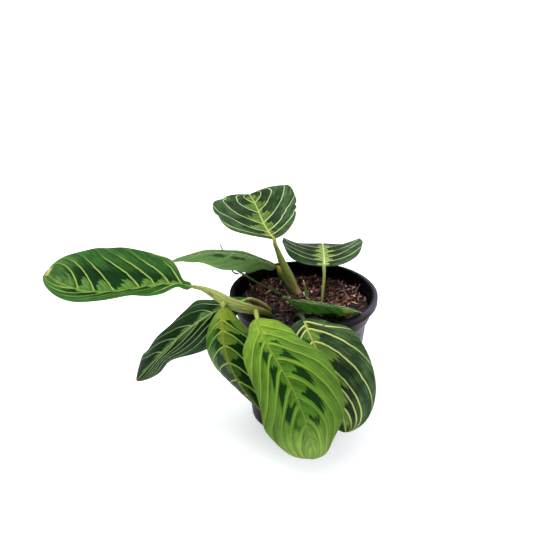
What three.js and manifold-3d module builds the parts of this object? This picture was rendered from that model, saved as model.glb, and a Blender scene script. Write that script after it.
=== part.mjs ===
// Prayer plant in a plastic nursery pot: pot, soil, leaf blades, their petioles and sheaths, one new shoot
// and one flower stalk. Millimetres, +Z up, origin on the table under the centre of the pot's base.
import * as THREE from "three";
import { mergeVertices } from "three/addons/utils/BufferGeometryUtils.js";
import Module from "manifold-3d";

const wasm = await Module();
wasm.setup();

// Pot
const potHeight = 112;
const rimRadius = 60;
const lipHeight = 6.5;
const lipWidth = 4.5;
const collarRadius = 54.8;
const collarBottom = 97;
const shoulderRadius = 51.5;
const shoulderBottom = 89;
const footRadius = 42;
const wall = 1.5;
const floorThickness = 2;
const drainCount = 8;
const drainRadius = 3.5;
const drainCircle = 31;
const drainSides = 12;
const potSides = 48;

// Soil
const soilLevel = 104;
const soilMoundRadius = 50;
const soilEdgeDrop = 4;
const soilRelief = 1.3;
const soilRings = 11;

// Leaf blades
const seatGap = 0.3;
const bladeThickness = 0.7;
const ribThickness = 0.8;
const bladeEndHalfWidth = 1.2;
const pleatHeight = 0.5;
const veinSweep = 0.75;
const wavesInMargin = 3;
const leftWaveStart = 1.3;
const columnPlaces = [-1, -0.75, -0.45, -0.12, 0, 0.12, 0.45, 0.75, 1];
const baseRowPlaces = [0, 0.012, 0.035];

// Stems
const buriedDepth = 12;
const stemSides = 8;
const stepLength = 6;

// Each leaf: four points of its midrib from base to tip; the way its right half points, at base and tip;
// the half widths, left and right; where along the midrib each half is widest; how far each half is turned
// up from that way and how far it curls, in degrees, as one value or as values at base, middle and tip;
// the height of the waves in its margin; and its notches, as side, place, spread and depth.
const leaves = {
  leaf_top: {
    midrib: [[-24, 12, 154], [-32, 42, 154], [-38, 72, 156], [-45, 101, 157.5]],
    right: [[0.97, 0.2, 0.1], [0.97, 0.2, 0.1]],
    width: [41, 34.5], widest: [0.5, 0.62], rise: [[10, 8, 9], [-8, 15, 10]],
    curl: [[10, 16, 10], [10, 8, 8]], wave: 1, veins: 6,
    notches: [
      ["left", 0.42, 0.1, 2.5], ["left", 0.86, 0.04, 2],
      ["right", 0.34, 0.02, 1.5], ["right", 0.41, 0.02, 1.5],
    ],
  },
  leaf_back: {
    midrib: [[17, 16, 128], [19, 46, 121], [20, 77, 115], [21, 106, 108]],
    right: [[1, 0, 0], [1, 0, 0]],
    width: [38, 35.5], widest: [0.52, 0.53], rise: [[-8, 4, -8], [-8, 6, -8]],
    curl: [[10, 26, 10], [10, 26, 10]], wave: 1, veins: 7,
  },
  leaf_left: {
    midrib: [[-88, -26, 130], [-124, -26, 130], [-162, -26, 125], [-203, -21, 139]],
    right: [[0, 0.96, 0.28], [0, 0.96, 0.28]],
    width: [27.5, 39], widest: [0.52, 0.66], rise: [[10, 34, 0], 26], curl: [-5, -10], wave: 0.4, veins: 8,
    notches: [
      ["right", 0.07, 0.05, 9], ["right", 0.5, 0.12, -1.5],
      ["left", 0.11, 0.065, 11], ["left", 0.3, 0.09, -9],
    ],
  },
  leaf_mid: {
    midrib: [[-21, 10, 130], [-47, 14, 139], [-76, 16, 140], [-107, 14, 133]],
    right: [[0, 0.69, -0.72], [0, 0.69, -0.72]],
    width: [22, 25], widest: [0.4, 0.4], rise: [-17, -16], curl: [0, 0], wave: 0.5, veins: 7,
    notches: [
      ["left", 0.12, 0.1, -3], ["right", 0.12, 0.1, 7], ["right", 0.8, 0.12, 6], ["right", 0.93, 0.06, 4],
    ],
  },
  leaf_low: {
    midrib: [[-44, -30, 121], [-75, -40, 112], [-104, -50, 92], [-132.5, -50, 58.5]],
    right: [[-0.5, 0.6, 0.6], [-0.3, 0.6, 0.6]],
    width: [27, 25], widest: [0.5, 0.5], rise: [[-20, -50, -70], [-50, -30, -18]], curl: [-20, -20],
    wave: 0.8, veins: 7,
    notches: [
      ["right", 0.33, 0.08, -8], ["right", 0.62, 0.12, 3], ["right", 0.93, 0.05, -6],
      ["left", 0.12, 0.1, 8], ["left", 0.52, 0.1, -2], ["left", 0.79, 0.1, 9],
    ],
  },
  leaf_yellow: {
    midrib: [[-63, -48, 124], [-63, -64, 106], [-55, -72, 79], [-32, -68, 40]],
    right: [[-1, 0, 0], [-1, 0, 0]],
    width: [22, 29], widest: [0.5, 0.55], rise: [-25, -48], curl: [-20, -20], wave: 1, veins: 7,
    notches: [["left", 0.33, 0.17, -6], ["right", 0.72, 0.18, -6]], young: true,
  },
  leaf_front: {
    midrib: [[-37, -58, 119], [-27, -82, 105], [-9, -98, 77], [6, -102, 22]],
    right: [[-0.98, 0.2, 0.05], [-1, 0, 0]],
    width: [34.5, 31], widest: [0.6, 0.7], rise: [0, 0], curl: [-8, -20], wave: 1, veins: 8,
    notches: [
      ["left", 0.05, 0.05, -2.5], ["left", 0.36, 0.16, 7.5], ["left", 0.94, 0.07, 6],
      ["right", 0.13, 0.07, 4], ["right", 0.5, 0.2, 3], ["right", 0.85, 0.1, -4],
    ],
    young: true,
  },
  leaf_right: {
    midrib: [[-2, -55, 117], [8, -76, 101], [22, -84, 70], [31, -82, 32]],
    right: [[-1, 0, 0], [-1, 0, 0]],
    width: [34, 30], widest: [0.52, 0.5], rise: [4, 0], curl: [[-10, -28, -35], -45], wave: 1, veins: 8,
    notches: [["left", 0.12, 0.08, 3]],
  },
  leaf_rim: {
    midrib: [[-15, -25, 119], [4, -35, 121], [25, -39, 119], [41.5, -36, 112.6]],
    right: [[0, -0.69, 0.72], [0, -0.69, 0.72]],
    width: [18.5, 18.5], widest: [0.45, 0.45], rise: [-10, -20], curl: [0, 0], wave: 0.5, veins: 6,
    notches: [["right", 0.8, 0.12, -3]],
  },
};

// Each stem: the points of its centre line, the last one left out where it ends at a leaf, the radii along
// it, and how thick it is for its width. A stem with roots stands in the soil at its first point.
const stems = {
  petiole_top: {
    leaf: "leaf_top", roots: true,
    points: [
      [0, 9, 100], [-6, 13.5, 109], [-11.6, 15.5, 120], [-16.8, 15, 131], [-21.3, 12, 144], [-23.4, 10, 151],
    ],
    radii: [2.3, 2.6, 3.2, 2.9, 2, 1.6, 1.5],
  },
  petiole_back: {
    leaf: "leaf_back", roots: true,
    points: [[15.3, -2, 98], [15.8, 3, 110], [17, 9, 121], [17, 13.2, 126.6]],
    radii: [1.2, 1.2, 1.2, 1.5, 1.5],
  },
  sheath_left: {
    leaf: "leaf_left", roots: true, flat: 0.8,
    points: [
      [-26, -23, 98], [-29, -31, 108], [-42, -41.5, 118], [-57, -42, 123], [-70, -36, 128], [-80, -30, 130],
    ],
    radii: [2.8, 2.8, 4, 5.2, 4.2, 2.3, 1.6],
  },
  petiole_mid: {
    leaf: "leaf_mid", roots: true,
    points: [[-6, 10, 98], [-9, 10, 106], [-14.5, 9.5, 116], [-18.5, 10, 123]],
    radii: [1.7, 1.7, 1.7, 1.9, 1.5],
  },
  petiole_low: {
    leaf: "leaf_low", roots: true,
    points: [[-25, -17.5, 98], [-27, -19.5, 105], [-31, -22, 111], [-36.5, -25, 116]],
    radii: [1.7, 1.7, 1.6, 1.5, 1.4],
  },
  petiole_yellow: {
    leaf: "leaf_yellow", on: "sheath_left",
    points: [[-62, -40, 124], [-63, -44.5, 124.5]],
    radii: [2, 2.2, 1.7],
  },
  petiole_front: {
    leaf: "leaf_front", on: "sheath_left",
    points: [[-38, -41, 116.5], [-38, -48, 118.5]],
    radii: [1.8, 1.9, 1.5],
  },
  petiole_right: {
    leaf: "leaf_right", roots: true,
    points: [[-9, -31, 98], [-8, -35, 106], [-5, -43.5, 114]],
    radii: [1.8, 1.8, 1.8, 1.6],
  },
  petiole_rim: {
    leaf: "leaf_rim", roots: true,
    points: [[-5, -9, 98], [-8, -11, 106], [-13, -16, 114], [-16, -21.5, 118]],
    radii: [1.5, 1.5, 1.4, 1.3, 1.2],
  },
  shoot_spike: {
    roots: true,
    points: [[5, 0, 98], [3, 4.5, 107], [0, 8, 119]],
    radii: [1.6, 1.6, 0.4],
  },
  flower_stalk: {
    roots: true,
    points: [
      [-13, 3, 100], [-19, 7.5, 106], [-35, 18.5, 109.7], [-51, 30, 114.5], [-60, 36, 119.5], [-69, 39, 137],
    ],
    radii: [1, 1, 1, 1, 0.9, 0.5],
  },
};

// Dried bract that hangs under the flower stalk.
const bract = { top: [-59.3, 35.4, 117], length: 9, width: 3, thickness: 0.8, bend: 1.7, steps: 6 };

const materials = {
  pot: new THREE.MeshStandardMaterial({ color: 0x1a1a22, roughness: 0.45, metalness: 0 }),
  soil: new THREE.MeshStandardMaterial({ color: 0x4a2c25, roughness: 0.95, metalness: 0 }),
  leaf: new THREE.MeshStandardMaterial({ color: 0x2c5a2e, roughness: 0.5, metalness: 0 }),
  youngLeaf: new THREE.MeshStandardMaterial({ color: 0x7d9d38, roughness: 0.5, metalness: 0 }),
  petiole: new THREE.MeshStandardMaterial({ color: 0x9aa552, roughness: 0.55, metalness: 0 }),
  dryBract: new THREE.MeshStandardMaterial({ color: 0x4a2a1c, roughness: 0.9, metalness: 0 }),
};

const vector = (p) => new THREE.Vector3(p[0], p[1], p[2]);
const radians = THREE.MathUtils.degToRad;

// A value that may be given once, or at base, middle and tip.
function valueAlong(value, u) {
  if (typeof value === "number") return value;
  const [base, middle, tip] = value;
  return base * (1 - u) * (1 - 2 * u) + middle * 4 * u * (1 - u) + tip * u * (2 * u - 1);
}

// The cubic that passes through four points at 0, 1/3, 2/3 and 1.
function midribPoint(leaf, u) {
  const [a, b, c] = [3 * u - 1, 3 * u - 2, u - 1];
  const weights = [(-a * b * c) / 2, (9 * u * b * c) / 2, (-9 * u * a * c) / 2, (u * a * b) / 2];
  const point = new THREE.Vector3();
  leaf.midrib.forEach((p, i) => point.addScaledVector(vector(p), weights[i]));
  return point;
}

function midribWay(leaf, u) {
  const step = 0.001;
  return midribPoint(leaf, u + step).sub(midribPoint(leaf, u - step)).normalize();
}

// Half width from 0 to 1 of a blade that is widest at the given place.
function bladeOutline(u, widest) {
  const a = 0.95 * widest;
  const b = 0.95 * (1 - widest);
  const most = a / (a + b);
  return (u ** a * Math.max(1 - u, 0) ** b) / (most ** a * (1 - most) ** b);
}

// A point of the blade's middle surface. Rows of equal q follow the side veins, which sweep towards the tip;
// v runs from -1 at the left margin over 0 at the midrib to 1 at the right margin.
function bladePoint(leaf, q, v) {
  const side = v < 0 ? 0 : 1;
  const out = Math.abs(v);
  const u = q + veinSweep * (0.35 * out + 0.65 * out ** 2.2) * q ** 0.6 * (1 - q);
  const along = midribWay(leaf, u);
  const across = vector(leaf.right[0]).lerp(vector(leaf.right[1]), u);
  across.addScaledVector(along, -across.dot(along)).normalize();
  const up = new THREE.Vector3().crossVectors(across, along);
  const share = bladeOutline(u, leaf.widest[side]);
  let width = Math.max(leaf.width[side] * share, bladeEndHalfWidth);
  for (const [where, place, spread, depth] of leaf.notches ?? []) {
    if ((where === "left") === (side === 0)) width -= depth * Math.exp(-(((u - place) / spread) ** 2));
  }
  const rise = radians(valueAlong(leaf.rise[side], u));
  const curl = radians(valueAlong(leaf.curl[side], u)) || 0.001;
  const outwards = (width * (Math.sin(rise + curl * out) - Math.sin(rise))) / curl;
  const phase = side === 0 ? leftWaveStart : 0;
  const margin = leaf.wave * Math.sin(2 * Math.PI * wavesInMargin * u + phase) * out ** 2 * share;
  const pleat = pleatHeight * (1 - Math.cos(2 * Math.PI * leaf.veins * q)) * 2 * out * (1 - out) * share;
  const upwards = (width * (Math.cos(rise) - Math.cos(rise + curl * out))) / curl + margin + pleat;
  const point = midribPoint(leaf, u).addScaledVector(across, side === 0 ? -outwards : outwards);
  return point.addScaledVector(up, upwards);
}

// A closed mesh from two grids of points that face each other, one over the other, joined round their edges.
function slabGeometry(over, under) {
  const rows = over.length;
  const columns = over[0].length;
  const positions = [...over.flat(), ...under.flat()].flatMap((p) => [p.x, p.y, p.z]);
  const index = [];
  const at = (layer, i, j) => layer * rows * columns + i * columns + j;
  for (let i = 0; i + 1 < rows; i += 1) {
    for (let j = 0; j + 1 < columns; j += 1) {
      const corners = [at(0, i, j), at(0, i, j + 1), at(0, i + 1, j + 1), at(0, i + 1, j)];
      const below = corners.map((k) => k + rows * columns);
      index.push(corners[0], corners[1], corners[2], corners[0], corners[2], corners[3]);
      index.push(below[0], below[2], below[1], below[0], below[3], below[2]);
    }
  }
  const edge = [];
  for (let j = 0; j + 1 < columns; j += 1) edge.push([0, j]);
  for (let i = 0; i + 1 < rows; i += 1) edge.push([i, columns - 1]);
  for (let j = columns - 1; j > 0; j -= 1) edge.push([rows - 1, j]);
  for (let i = rows - 1; i > 0; i -= 1) edge.push([i, 0]);
  edge.forEach(([i, j], k) => {
    const [m, n] = edge[(k + 1) % edge.length];
    index.push(at(1, i, j), at(1, m, n), at(0, m, n), at(1, i, j), at(0, m, n), at(0, i, j));
  });
  const geometry = new THREE.BufferGeometry();
  geometry.setAttribute("position", new THREE.Float32BufferAttribute(positions, 3));
  geometry.setIndex(index);
  return geometry;
}

// A leaf blade: rows on each side vein and midway between, thicker along the midrib on its underside.
function bladeGeometry(leaf) {
  const rowPlaces = [...baseRowPlaces];
  for (let k = 1; k <= 2 * leaf.veins; k += 1) rowPlaces.push(k / (2 * leaf.veins));
  const step = 0.01;
  const over = [];
  const under = [];
  for (const q of rowPlaces) {
    const upperRow = [];
    const lowerRow = [];
    for (const v of columnPlaces) {
      const alongV = bladePoint(leaf, q, Math.min(v + step, 1));
      alongV.sub(bladePoint(leaf, q, Math.max(v - step, -1)));
      const alongQ = bladePoint(leaf, Math.min(q + step, 1), v);
      alongQ.sub(bladePoint(leaf, Math.max(q - step, 0), v));
      const normal = alongV.cross(q === 0 ? midribWay(leaf, 0) : alongQ).normalize();
      const point = bladePoint(leaf, q, v);
      const rib = v === 0 ? ribThickness * (1 - q) : 0;
      upperRow.push(point.clone().addScaledVector(normal, bladeThickness / 2));
      lowerRow.push(point.clone().addScaledVector(normal, -bladeThickness / 2 - rib));
    }
    over.push(upperRow);
    under.push(lowerRow);
  }
  return slabGeometry(over, under);
}

// A stem along a smooth curve through its points, with its radii spread evenly along it.
function stemGeometry(stem, extra = 0) {
  const points = stem.points.map(vector);
  if (stem.roots) points.unshift(points[0].clone().setZ(points[0].z - buriedDepth - extra));
  if (stem.leaf) {
    const leaf = leaves[stem.leaf];
    points.push(midribPoint(leaf, 0).addScaledVector(midribWay(leaf, 0), -seatGap));
  }
  const radii = stem.roots ? [stem.radii[0], ...stem.radii] : stem.radii;
  const curve = new THREE.CatmullRomCurve3(points, false, "centripetal");
  const steps = Math.max(3, Math.round(curve.getLength() / stepLength));
  const frames = curve.computeFrenetFrames(steps, false);
  if (stem.leaf) frames.tangents[steps].copy(midribWay(leaves[stem.leaf], 0));
  const rings = [];
  for (let i = 0; i <= steps; i += 1) {
    const t = curve.getUtoTmapping(i / steps);
    const place = t * (radii.length - 1);
    const low = Math.min(Math.floor(place), radii.length - 2);
    const radius = THREE.MathUtils.lerp(radii[low], radii[low + 1], place - low) + extra;
    rings.push({ centre: curve.getPoint(t), along: frames.tangents[i], radius });
  }
  // The section is carried along without twist from a first side direction.
  let side = new THREE.Vector3(0, 1, 0).addScaledVector(rings[0].along, -rings[0].along.y).normalize();
  const positions = [];
  for (const ring of rings) {
    side = side.clone().addScaledVector(ring.along, -side.dot(ring.along)).normalize();
    const other = new THREE.Vector3().crossVectors(ring.along, side);
    for (let k = 0; k < stemSides; k += 1) {
      const turn = (2 * Math.PI * k) / stemSides;
      const p = ring.centre.clone();
      p.addScaledVector(side, ring.radius * (stem.flat ?? 1) * Math.cos(turn));
      p.addScaledVector(other, ring.radius * Math.sin(turn));
      positions.push(p.x, p.y, p.z);
    }
  }
  const first = rings[0].centre;
  const last = rings[rings.length - 1].centre;
  positions.push(first.x, first.y, first.z, last.x, last.y, last.z);
  const index = [];
  const count = rings.length * stemSides;
  for (let i = 0; i + 1 < rings.length; i += 1) {
    for (let k = 0; k < stemSides; k += 1) {
      const a = i * stemSides + k;
      const b = i * stemSides + ((k + 1) % stemSides);
      index.push(a, b, b + stemSides, a, b + stemSides, a + stemSides);
    }
  }
  for (let k = 0; k < stemSides; k += 1) {
    const next = (k + 1) % stemSides;
    index.push(count, next, k);
    index.push(count + 1, count - stemSides + k, count - stemSides + next);
  }
  const geometry = new THREE.BufferGeometry();
  geometry.setAttribute("position", new THREE.Float32BufferAttribute(positions, 3));
  geometry.setIndex(index);
  return geometry;
}

function solid(geometry) {
  const plain = geometry.clone();
  plain.deleteAttribute("normal");
  plain.deleteAttribute("uv");
  const merged = mergeVertices(plain, 1e-5);
  return new wasm.Manifold(new wasm.Mesh({
    numProp: 3,
    vertProperties: new Float32Array(merged.attributes.position.array),
    triVerts: new Uint32Array(merged.index.array),
  }));
}

function fromSolid(manifold) {
  const mesh = manifold.getMesh();
  const geometry = new THREE.BufferGeometry();
  geometry.setAttribute("position", new THREE.BufferAttribute(mesh.vertProperties, 3));
  geometry.setIndex(new THREE.BufferAttribute(mesh.triVerts, 1));
  return geometry;
}

// A closed body turned about +Z from points of radius and height, listed from the axis round to the axis.
function turned(profile, sides) {
  const geometry = new THREE.LatheGeometry(profile.map(([r, z]) => new THREE.Vector2(r, z)), sides);
  return geometry.rotateX(Math.PI / 2);
}

// Pot: floor, tapering body, collar, and a lip with a sloped top, with drain holes near the foot.
function potGeometry() {
  const lipBottom = potHeight - lipHeight;
  const inner = rimRadius - lipWidth;
  const outside = [
    [0, 0], [footRadius - 1, 0], [footRadius, 1], [shoulderRadius, shoulderBottom],
    [collarRadius - 0.6, collarBottom - 2], [collarRadius, collarBottom], [collarRadius, lipBottom],
    [rimRadius - 1, lipBottom + 0.3], [rimRadius, lipBottom + 1.5], [rimRadius, potHeight - 1.2],
    [rimRadius - 0.8, potHeight - 0.2], [rimRadius - 1.6, potHeight],
  ];
  const inside = [
    [inner + 0.6, potHeight - 1.2], [inner, potHeight - 2], [collarRadius - wall, collarBottom],
    [shoulderRadius - wall, shoulderBottom], [footRadius - wall, floorThickness], [0, floorThickness],
  ];
  let pot = solid(turned([...outside, ...inside], potSides));
  for (let k = 0; k < drainCount; k += 1) {
    const turn = (2 * Math.PI * (k + 0.5)) / drainCount;
    const drain = new THREE.CylinderGeometry(drainRadius, drainRadius, 3 * floorThickness, drainSides);
    drain.rotateX(Math.PI / 2);
    drain.translate(drainCircle * Math.cos(turn), drainCircle * Math.sin(turn), floorThickness / 2);
    pot = pot.subtract(solid(drain));
  }
  return fromSolid(pot);
}

// Height of the soil's chips over its level, from coarse and fine waves that cross and drift.
function soilHeight(x, y) {
  const [driftX, driftY] = [1.6 * Math.sin(0.37 * x), 1.9 * Math.sin(0.31 * y)];
  const coarse = Math.sin(0.62 * x + driftY) * Math.cos(0.55 * y + driftX);
  const fine = Math.sin(1.35 * x - 0.8 * y + driftY) * Math.cos(1.1 * y + 0.7 * x);
  return soilRelief * (0.6 * coarse + 0.4 * fine);
}

// Soil: fills the pot to its mound, and has a plain hole for each rooted stem.
function soilGeometry(rooted) {
  const wallRadius = (z) => {
    const onTaper = footRadius + ((shoulderRadius - footRadius) * z) / shoulderBottom;
    const onShoulder = shoulderRadius
      + ((collarRadius - shoulderRadius) * (z - shoulderBottom)) / (collarBottom - shoulderBottom);
    return Math.min(z < shoulderBottom ? onTaper : onShoulder, collarRadius) - wall - seatGap;
  };
  const bottom = floorThickness + seatGap;
  const edge = soilLevel - soilEdgeDrop;
  const rings = [[wallRadius(bottom) - 0.2, bottom], [wallRadius(shoulderBottom) - 0.2, shoulderBottom],
    [wallRadius(edge) - 0.8, edge]];
  for (let k = 1; k <= soilRings; k += 1) {
    const share = 1 - k / (soilRings + 1);
    const radius = (soilMoundRadius + 2) * share + 1;
    rings.push([radius, soilLevel - (radius > soilMoundRadius - 2 ? 0.25 * soilEdgeDrop : 0)]);
  }
  const positions = [];
  rings.forEach(([radius, z], k) => {
    for (let i = 0; i < potSides; i += 1) {
      const turn = (2 * Math.PI * (i + (k % 2) / 2)) / potSides;
      const [x, y] = [radius * Math.cos(turn), radius * Math.sin(turn)];
      positions.push(x, y, k > 2 ? z + soilHeight(x, y) : z);
    }
  });
  positions.push(0, 0, bottom, 0, 0, soilLevel + soilHeight(0, 0));
  const index = [];
  const centre = rings.length * potSides;
  for (let i = 0; i < potSides; i += 1) {
    const next = (i + 1) % potSides;
    for (let k = 0; k + 1 < rings.length; k += 1) {
      const [a, b] = [k * potSides + i, k * potSides + next];
      const [c, d] = [a + potSides, b + potSides];
      if (k % 2 === 0) index.push(a, b, c, b, d, c);
      else index.push(a, b, d, a, d, c);
    }
    index.push(centre, next, i);
    index.push(centre + 1, centre - potSides + i, centre - potSides + next);
  }
  const geometry = new THREE.BufferGeometry();
  geometry.setAttribute("position", new THREE.Float32BufferAttribute(positions, 3));
  geometry.setIndex(index);
  let soil = solid(geometry);
  for (const stem of rooted) soil = soil.subtract(solid(stemGeometry(stem, seatGap)));
  return fromSolid(soil);
}

// Dried bract: a small strip that hangs from the flower stalk and curls up at its end.
function bractGeometry() {
  const { top, length, width, thickness, bend, steps } = bract;
  const over = [];
  const under = [];
  for (let i = 0; i <= steps; i += 1) {
    const share = i / steps;
    const turn = share * bend;
    const radius = length / bend;
    const half = (width / 2) * (0.3 + 1.4 * share * (1.3 - share));
    const x = top[0] + radius * (1 - Math.cos(turn));
    const z = top[2] - radius * Math.sin(turn);
    const normal = new THREE.Vector3(-Math.cos(turn), 0, -Math.sin(turn));
    const row = [-half, half].map((y) => new THREE.Vector3(x, top[1] + y, z));
    over.push(row.map((p) => p.clone().addScaledVector(normal, thickness / 2)));
    under.push(row.map((p) => p.clone().addScaledVector(normal, -thickness / 2)));
  }
  return slabGeometry(over, under);
}

const group = new THREE.Group();

function add(name, geometry, material) {
  geometry.computeVertexNormals();
  const mesh = new THREE.Mesh(geometry, material);
  mesh.name = name;
  group.add(mesh);
}

add("pot", potGeometry(), materials.pot);
add("soil", soilGeometry(Object.values(stems).filter((stem) => stem.roots)), materials.soil);
for (const [name, leaf] of Object.entries(leaves)) {
  add(name, bladeGeometry(leaf), leaf.young ? materials.youngLeaf : materials.leaf);
}
for (const [name, stem] of Object.entries(stems)) {
  let geometry = stemGeometry(stem);
  if (stem.on) geometry = fromSolid(solid(geometry).subtract(solid(stemGeometry(stems[stem.on], seatGap))));
  add(name, geometry, materials.petiole);
}
add("flower_bract", bractGeometry(), materials.dryBract);

export default group;
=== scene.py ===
import functools
import math

import bpy
import numpy as np
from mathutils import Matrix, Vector, noise


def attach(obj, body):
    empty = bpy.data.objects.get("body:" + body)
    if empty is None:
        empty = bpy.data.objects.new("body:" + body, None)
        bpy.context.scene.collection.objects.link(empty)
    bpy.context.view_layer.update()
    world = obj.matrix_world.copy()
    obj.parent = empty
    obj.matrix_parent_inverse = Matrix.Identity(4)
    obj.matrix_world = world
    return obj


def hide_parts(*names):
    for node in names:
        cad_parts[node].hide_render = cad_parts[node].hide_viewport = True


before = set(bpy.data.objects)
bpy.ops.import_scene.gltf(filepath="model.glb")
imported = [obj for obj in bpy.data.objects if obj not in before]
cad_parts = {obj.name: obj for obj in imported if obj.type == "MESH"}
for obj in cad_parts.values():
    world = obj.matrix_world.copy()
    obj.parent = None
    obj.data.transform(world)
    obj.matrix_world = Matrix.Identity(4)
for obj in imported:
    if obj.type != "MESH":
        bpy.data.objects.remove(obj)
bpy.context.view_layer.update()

mm = 0.001


# Camera at the photograph's angle, and soft studio light, in metres and degrees
studio = dict(
    cameraAt=(-0.030, -0.724, 0.477), lookDown=25.3, lens=67.54, sensor=36, nearest=0.01,
    floorSize=120, floorColour="#f4f5f8", floorGlow=0.4, skyFade=(0.3, 0.95), skyLow=0.12,
    skyHigh=1.9, keyAt=(-0.5, 0.1, 1.5), keyTo=(-0.03, -0.03, 0.1), keySize=0.9, keyPower=12,
)


def colourOf(text):
    parts = [int(text[k:k + 2], 16) / 255 for k in (1, 3, 5)]
    return tuple(c / 12.92 if c <= 0.04045 else ((c + 0.055) / 1.055) ** 2.4 for c in parts) + (1,)


def scaleOf(size):  # a pattern's scale, from the size of one of its spots in millimetres
    return 1 / (size * mm)


def metres(*sizes):
    return [size * mm for size in sizes]


def addNode(tree, kind, settings, *values, **named):
    node = tree.nodes.new("ShaderNode" + kind)
    for key, value in settings.items():
        if key != "stops":
            setattr(node, key, value)
            continue
        ramp = node.color_ramp.elements
        while len(ramp) < len(value):
            ramp.new(0.5)
        for element, (position, colour) in zip(ramp, value):
            element.position = position
            element.color = colour
    free = [socket for socket in node.inputs if socket.enabled]
    pairs = list(zip(free, values)) + [(node.inputs[key.replace("_", " ")], v) for key, v in named.items()]
    for socket, value in pairs:
        if isinstance(value, bpy.types.Node):
            value = next(output for output in value.outputs if output.enabled)
        elif isinstance(value, tuple) and isinstance(value[0], bpy.types.Node):
            value = value[0].outputs[value[1]]
        if isinstance(value, bpy.types.NodeSocket):
            tree.links.new(value, socket)
        else:
            socket.default_value = value
    return node


def newMaterial(name):
    material = bpy.data.materials.new(name)
    material.use_nodes = True
    material.node_tree.nodes.clear()
    add = functools.partial(addNode, material.node_tree)
    return material, add, (add("TexCoord", {}), "Object")


times, plus, less = {"operation": "MULTIPLY"}, {"operation": "ADD"}, {"operation": "SUBTRACT"}
smooth = {"interpolation_type": "SMOOTHSTEP"}
blended = {"data_type": "RGBA"}


# A mask, kept only as far as another value lies in its span
def keptBy(add, mask, value, *span, curve=smooth):
    return add("Math", times, mask, add("MapRange", curve, value, *span))


# A surface from its colour and roughness, with relief of a depth in millimetres
def finishSurface(add, colour, rough, height, depth, strength, **settings):
    bump = add("Bump", {}, Strength=strength, Distance=depth * mm, Height=height)
    surface = add("BsdfPrincipled", {}, Base_Color=colour, Roughness=rough, Normal=bump, **settings)
    add("OutputMaterial", {}, surface)


# A chance from 0 to 1, turned into an offset on both sides of zero
def offsetBy(add, chance, spread):
    return add("Math", times, add("Math", less, chance, 0.5), spread)


# The fields that newPiece keeps on a mesh, each split into its three values
def readFields(add, *names):
    return [add("SeparateXYZ", {}, (add("Attribute", {"attribute_name": name}), "Vector")) for name in names]


# Marks over a colour, of age and on leaf_rim of painted highlight and shade: a ragged patch where each mark's
# value is high, in that mark's tint
def withMarks(add, colour, wear, ragged, span, marks):
    for value, tint, strength in marks:
        mark = add("MapRange", smooth, add("Math", plus, (wear, value), ragged), *span, 0, strength)
        mark = keptBy(add, mark, (wear, value), 0, 0.15, curve={})
        colour = add("Mix", blended, mark, colour, colourOf(tint))
    return colour


camera = bpy.data.objects.new("camera", bpy.data.cameras.new("camera"))
camera.location = studio["cameraAt"]
camera.rotation_euler = (math.radians(90 - studio["lookDown"]), 0, 0)
camera.data.lens = studio["lens"]
camera.data.sensor_width = studio["sensor"]
camera.data.clip_start = studio["nearest"]
bpy.context.scene.collection.objects.link(camera)
bpy.context.scene.camera = camera
bpy.context.scene.view_settings.view_transform = "Standard"

# A wide overhead softbox: bright above, dim at the sides, so that shiny leaves keep their dark colours
world = bpy.data.worlds.new("overheadSoftbox")
world.use_nodes = True
world.node_tree.nodes.clear()
add = functools.partial(addNode, world.node_tree)
height = add("SeparateXYZ", {}, (add("TexCoord", {}), "Generated"))
strength = add("MapRange", smooth, (height, "Z"), *studio["skyFade"], studio["skyLow"], studio["skyHigh"])
add("OutputWorld", {}, add("Background", {}, (1, 1, 1, 1), strength))
bpy.context.scene.world = world

key = bpy.data.objects.new("keyLight", bpy.data.lights.new("keyLight", "AREA"))
key.data.size = studio["keySize"]
key.data.energy = studio["keyPower"]
key.location = studio["keyAt"]
key.rotation_euler = (Vector(studio["keyTo"]) - key.location).to_track_quat("-Z", "Y").to_euler()
bpy.context.scene.collection.objects.link(key)


# Meshes from points in millimetres
def newObject(name, points, faces):
    mesh = bpy.data.meshes.new(name)
    vertices = (np.asarray(points, float) * mm).tolist()
    mesh.from_pydata(vertices, [], [list(map(int, face)) for face in faces])
    made = bpy.data.objects.new(name, mesh)
    bpy.context.scene.collection.objects.link(made)
    return made


# A piece of the plant, which rides on the one body. fields hold a vector for each corner of each face
def newPiece(name, points, faces, materials, nodes=(), faceMaterials=None, fields=None, crease=50):
    piece = newObject(name, points, faces)
    mesh = piece.data
    for material in materials:
        mesh.materials.append(material)
    if faceMaterials is not None:
        mesh.polygons.foreach_set("material_index", np.asarray(faceMaterials, np.int32))
    for field, values in (fields or {}).items():
        layer = mesh.attributes.new(field, "FLOAT_VECTOR", "CORNER")
        layer.data.foreach_set("vector", np.asarray(values, np.float32).ravel())
    mesh.polygons.foreach_set("use_smooth", [True] * len(mesh.polygons))
    if crease:
        mesh.set_sharp_from_angle(angle=math.radians(crease))
    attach(piece, "root")
    if nodes:
        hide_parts(*nodes)
    return piece


# Faces between rings of points. index and after number each point and the next one round its ring
def ringFaces(rings, sides, faceInwards=False):
    index = np.arange(rings * sides).reshape(-1, sides)
    after = np.roll(index, -1, axis=1)
    quads = np.stack([index[:-1], after[:-1], after[1:], index[1:]], -1).reshape(-1, 4)
    return index, after, np.roll(quads[:, ::-1], 1, axis=1) if faceInwards else quads


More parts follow.
